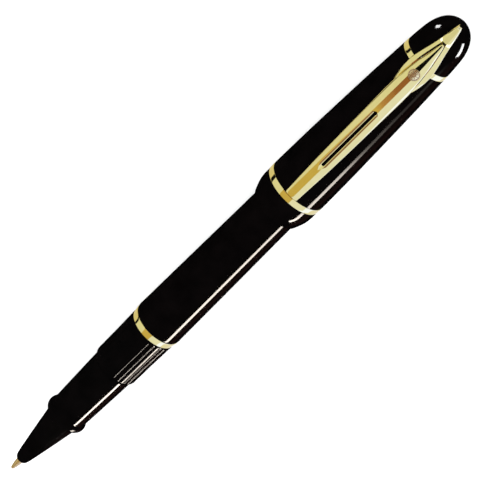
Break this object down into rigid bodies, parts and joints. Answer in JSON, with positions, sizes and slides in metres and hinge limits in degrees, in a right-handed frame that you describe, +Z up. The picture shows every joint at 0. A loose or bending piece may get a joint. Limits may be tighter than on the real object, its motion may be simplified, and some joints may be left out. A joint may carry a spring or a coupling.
{
  "type": "rollerball pen",
  "caption": "Black lacquered rollerball pen with gold-toned trim, its clip-bearing cap posted on the barrel's tail; cap, clip, screw-in grip section and refill all move.",
  "frame": {"origin": "middle of the pen's length and width, at the level of the lowest flat of the cap band", "axes": "+X along the pen from the writing point to the crown, +Z up through the clip, +Y to the left of someone looking along +X"},
  "size_m": [0.15, 0.0136, 0.0153],
  "materials": {
    "barrel_shell": "black lacquer, high gloss",
    "barrel_thread_insert": "turned",
    "tail_plug": "moulded",
    "return_spring": "drawn wire",
    "cap_tube": "black lacquer, high gloss",
    "cap_lip": "black lacquer, high gloss",
    "cap_band": "polished gold plate",
    "inner_cap": "moulded",
    "crown_ring": "polished gold plate",
    "crown": "black, high gloss",
    "crown_bush": "turned",
    "clip_head": "polished gold plate",
    "clip_pin": "ground pin",
    "clip_spring": "spring leaf",
    "clip_arm": "polished gold plate",
    "clip_medallion": "plain engraved disc, gold plate",
    "refill_tube": "extruded tube",
    "refill_plug": "moulded",
    "refill_nose": "moulded",
    "point_cone": "polished, gold toned",
    "ink_reservoir": "ink-soaked fibre",
    "ink_wick": "ink-soaked fibre",
    "grip_section": "polished black",
    "fluted_collar": "polished black",
    "section_ring": "polished gold plate",
    "section_thread": "turned",
    "writing_ball": "polished hard metal ball"
  },
  "bodies": {
    "barrel": {"barrel_shell": "barrel_shell", "barrel_thread_insert": "barrel_thread_insert", "tail_plug": "tail_plug", "return_spring": "return_spring"},
    "cap": {"cap_tube": "cap_tube", "cap_lip": "cap_lip", "cap_band": "cap_band", "inner_cap": "inner_cap", "crown_ring": "crown_ring", "crown": "crown", "crown_bush": "crown_bush", "clip_head": "clip_head", "clip_pin": "clip_pin", "clip_spring": "clip_spring"},
    "clip": {"clip_arm": "clip_arm", "clip_medallion": "clip_medallion"},
    "refill": {"refill_tube": "refill_tube", "refill_plug": "refill_plug", "refill_nose": "refill_nose", "point_cone": "point_cone", "ink_reservoir": "ink_reservoir", "ink_wick": "ink_wick"},
    "section": {"grip_section": "grip_section", "fluted_collar": "fluted_collar", "section_ring": "section_ring", "section_thread": "section_thread"},
    "ball": {"writing_ball": "writing_ball"}
  },
  "joints": [
    {"name": "cap_pull", "type": "slide", "parent": "barrel", "child": "cap", "axis": [1, 0, 0], "range_m": [0, 0.0455]},
    {"name": "clip_lift", "type": "hinge", "parent": "cap", "child": "clip", "pos_m": [0.066, 0, 0.0132], "axis": [0, 1, 0], "range_deg": [0, 2.5], "stiffness_Nm_per_rad": 2, "deforming": ["clip_spring"]},
    {"name": "section_travel", "type": "slide", "parent": "barrel", "child": "refill", "axis": [-1, 0, 0], "range_m": [0, 0.009], "deforming": ["return_spring"]},
    {"name": "section_turn", "type": "hinge", "parent": "refill", "child": "section", "pos_m": [-0.03, 0, 0.00678], "axis": [-1, 0, 0], "range_deg": [0, 3240.01]},
    {"name": "ball_roll", "type": "hinge", "parent": "refill", "child": "ball", "pos_m": [-0.07465, 0, 0.00678], "axis": [0, 1, 0], "continuous": true}
  ],
  "couplings": [
    {"joint": "section_turn", "follows": "section_travel", "rad_per_m": 6283.2}
  ]
}
